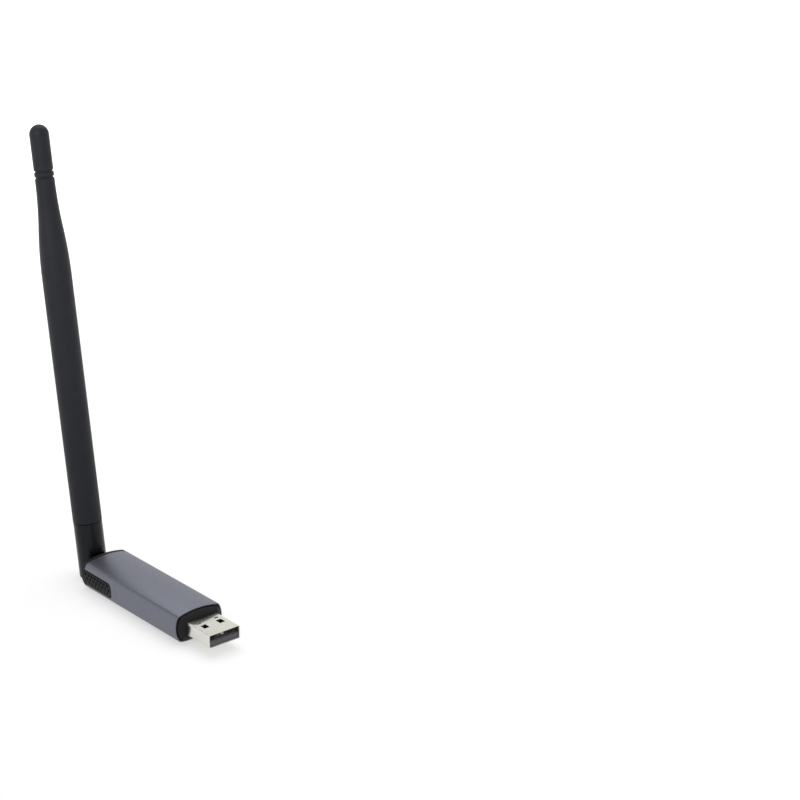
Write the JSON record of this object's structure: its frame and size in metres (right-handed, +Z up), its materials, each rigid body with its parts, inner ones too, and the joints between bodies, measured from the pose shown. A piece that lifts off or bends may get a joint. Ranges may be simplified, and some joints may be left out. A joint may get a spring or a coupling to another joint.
{
  "type": "smart home usb radio stick",
  "caption": "USB radio stick with an extruded aluminium case, a gripped moulded end cap and a whip antenna on a folding hinge.",
  "frame": {"origin": "on the surface the stick lies on, under the middle of the aluminium case", "axes": "+X out of the plug, +Z up along the raised antenna, +Y to the stick's left"},
  "size_m": [0.0978, 0.0184, 0.1526],
  "materials": {
    "case_aluminium": "satin anodised",
    "case_plastic": "matte",
    "plug_nickel": "bright nickel plated",
    "plug_plastic": "matte",
    "contact_gold": "gold plated",
    "board": "solder mask",
    "tin": "tin plated",
    "chip_body": "moulded",
    "passive_body": "ceramic",
    "lead_jacket": "smooth",
    "pin_steel": "ground",
    "antenna_plastic": "semi-gloss",
    "whip_rubber": "matte",
    "feed_brass": "bright"
  },
  "bodies": {
    "stick": {"sleeve": "case_aluminium", "front_bezel": "case_plastic", "end_cap": "case_plastic", "usb_shell": "plug_nickel", "usb_insulator": "plug_plastic", "usb_contacts": "contact_gold", "circuit_board": "board", "shield_can": "tin", "radio_chip": "chip_body", "usb_bridge_chip": "chip_body", "crystal": "tin", "voltage_regulator": "chip_body", "passives": "passive_body", "coax_socket": "contact_gold", "coax_plug": "contact_gold", "case_lead": "lead_jacket"},
    "antenna": {"antenna_base": "antenna_plastic", "whip_boot": "whip_rubber", "hinge_pin": "pin_steel", "antenna_lead": "lead_jacket", "feed_tube": "feed_brass", "radiator": "feed_brass"}
  },
  "joints": [
    {"name": "antenna_fold", "type": "hinge", "parent": "stick", "child": "antenna", "pos_m": [-0.03495, 0, 0.00525], "axis": [0, 1, 0], "range_deg": [-82.3, 7.7]}
  ]
}
